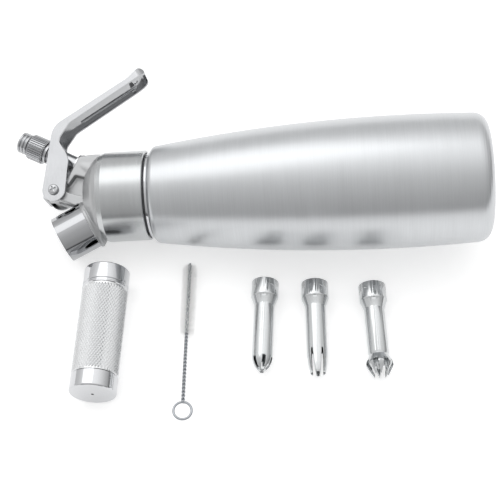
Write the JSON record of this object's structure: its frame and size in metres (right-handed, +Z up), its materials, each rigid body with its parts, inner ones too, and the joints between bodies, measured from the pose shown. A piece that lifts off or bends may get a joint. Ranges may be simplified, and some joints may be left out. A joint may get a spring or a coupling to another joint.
{
  "type": "whipped cream dispenser",
  "caption": "Stainless whipped cream dispenser lying with its charger holder, cleaning brush and decorating tips; the lever opens the nozzle valve and the bottle unscrews from the head.",
  "frame": {"origin": "middle of the laid-out set, on the surface it lies on", "axes": "+X along the lying bottle from head to base, +Y towards the lever, +Z up"},
  "size_m": [0.277, 0.2062, 0.0839],
  "materials": {
    "brushed": "circumferentially brushed stainless steel",
    "collar": "finely brushed stainless steel, satin",
    "polished": "polished stainless steel",
    "cast": "bead-blasted satin casting",
    "knurled": "satin with a fine knurl",
    "rubber": "matte seal",
    "silicone": "soft matte silicone",
    "guide": "smooth acetal",
    "spring": "drawn spring wire",
    "bristle": "white nylon bristle"
  },
  "bodies": {
    "head": {"head_casting": "cast", "head_collar": "collar", "nozzle_sleeve": "polished", "nozzle_spigot": "polished", "valve_guide": "guide", "valve_spring": "spring", "injector_body": "knurled", "injector_washer": "polished", "charger_seal": "rubber", "piercing_pin": "polished", "check_spring": "spring", "pivot_screw": "polished", "pivot_nut": "polished", "pivot_washers": "guide"},
    "lever": {"lever": "polished"},
    "valve": {"valve_piston": "polished", "piston_collar": "polished", "piston_rings": "rubber"},
    "check_valve": {"check_poppet": "guide"},
    "gasket": {"head_gasket": "silicone"},
    "bottle": {"bottle": "brushed", "neck_ring": "polished"},
    "charger_holder": {"holder_body": "knurled", "holder_cap": "polished"},
    "brush": {"brush_wire": "polished", "brush_bristles": "bristle"},
    "round_tip": {"tip_round": "polished"},
    "tulip_tip": {"tip_tulip": "polished"},
    "star_tip": {"tip_star": "polished"}
  },
  "joints": [
    {"name": "lever_pivot", "type": "hinge", "parent": "head", "child": "lever", "pos_m": [-0.11249, 0.03008, 0.02386], "axis": [0.0969, 0.2588, -0.9611], "range_deg": [0, 12], "stiffness_Nm_per_rad": 1.2, "springref_deg": -8.59},
    {"name": "valve_slide", "type": "slide", "parent": "head", "child": "valve", "axis": [-0.8788, -0.431, -0.2047], "range_m": [0, 0.00415], "deforming": ["valve_spring"]},
    {"name": "check_valve_slide", "type": "slide", "parent": "head", "child": "check_valve", "axis": [0.9005, -0.434, -0.0261], "range_m": [0, 0.001], "stiffness_N_per_m": 300, "springref_m": -0.001, "deforming": ["check_spring"]},
    {"name": "bottle_turn", "type": "hinge", "parent": "head", "child": "gasket", "pos_m": [-0.06335, 0.02689, 0.02795], "axis": [0.995, 0, 0.1003], "range_deg": [0, 1080]},
    {"name": "bottle_off", "type": "slide", "parent": "gasket", "child": "bottle", "axis": [0.995, 0, 0.1003], "range_m": [0, 0.009]},
    {"name": "holder_lift", "type": "slide", "parent": "head", "child": "charger_holder", "axis": [0, 0, 1], "range_m": [0, 0.05]},
    {"name": "brush_lift", "type": "slide", "parent": "head", "child": "brush", "axis": [0, 0, 1], "range_m": [0, 0.05]},
    {"name": "round_tip_lift", "type": "slide", "parent": "head", "child": "round_tip", "axis": [0, 0, 1], "range_m": [0, 0.05]},
    {"name": "tulip_tip_lift", "type": "slide", "parent": "head", "child": "tulip_tip", "axis": [0, 0, 1], "range_m": [0, 0.05]},
    {"name": "star_tip_lift", "type": "slide", "parent": "head", "child": "star_tip", "axis": [0, 0, 1], "range_m": [0, 0.05]}
  ],
  "couplings": [
    {"joint": "valve_slide", "follows": "lever_pivot", "m_per_rad": 0.0197},
    {"joint": "bottle_off", "follows": "bottle_turn", "m_per_rad": 0.00047746}
  ]
}
